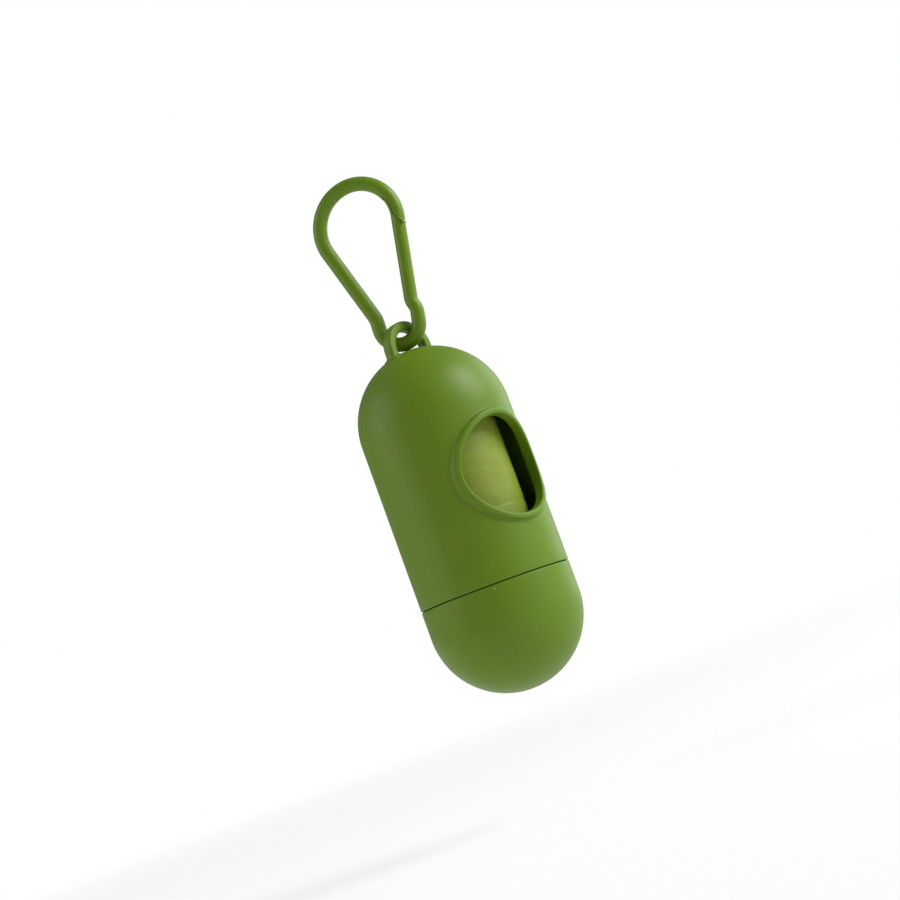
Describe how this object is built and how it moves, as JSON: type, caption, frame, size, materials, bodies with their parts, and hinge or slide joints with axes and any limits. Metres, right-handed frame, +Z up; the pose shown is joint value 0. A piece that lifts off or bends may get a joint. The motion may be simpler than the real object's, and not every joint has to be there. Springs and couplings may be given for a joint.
{
  "type": "dog poop bag dispenser",
  "caption": "Screw-together capsule with a round window that holds a roll of bags and hangs from a plastic snap clip.",
  "frame": {"origin": "the ring seat of the snap clip: the top of the space inside its crown, where a leash's ring carries the part", "axes": "+Z up along the capsule's axis, from the capsule to the clip; the window faces -Y; the hanging loop lies in the XZ plane"},
  "size_m": [0.04, 0.041, 0.1409],
  "materials": {
    "case_plastic": "satin",
    "clip_plastic": "satin",
    "cardboard": "matte",
    "bag_film": "satin"
  },
  "bodies": {
    "clip": {"carabiner_frame": "clip_plastic"},
    "gate": {"carabiner_gate": "clip_plastic"},
    "case": {"upper_case": "case_plastic"},
    "core": {"roll_core": "cardboard"},
    "bags": {"bag_01": "bag_film", "bag_02": "bag_film", "bag_03": "bag_film", "bag_04": "bag_film", "bag_05": "bag_film", "bag_06": "bag_film", "bag_07": "bag_film", "bag_08": "bag_film", "bag_09": "bag_film", "bag_10": "bag_film", "bag_11": "bag_film", "bag_12": "bag_film", "bag_13": "bag_film", "bag_14": "bag_film", "bag_15": "bag_film"},
    "cap": {"screw_cap": "case_plastic"}
  },
  "joints": [
    {"name": "case_swing", "type": "hinge", "parent": "clip", "child": "case", "pos_m": [0, 0, -0.037], "axis": [0.866, 0.5, 0], "range_deg": [-75, 75]},
    {"name": "gate_open", "type": "hinge", "parent": "clip", "child": "gate", "pos_m": [0.00298, -0.00515, -0.035], "axis": [-0.866, -0.5, 0], "range_deg": [0, 25], "stiffness_Nm_per_rad": 0.12, "springref_deg": -4.58},
    {"name": "roll_drop", "type": "slide", "parent": "case", "child": "core", "axis": [0, 0, -1], "range_m": [0, 0.00901]},
    {"name": "cap_turn", "type": "hinge", "parent": "core", "child": "cap", "pos_m": [0, 0, -0.10959], "axis": [0, 0, -1], "range_deg": [0, 540]},
    {"name": "bag_spin", "type": "hinge", "parent": "core", "child": "bags", "pos_m": [0, 0, -0.10959], "axis": [0, 0, 1], "continuous": true}
  ],
  "couplings": [
    {"joint": "roll_drop", "follows": "cap_turn", "m_per_rad": 0.00095493}
  ]
}
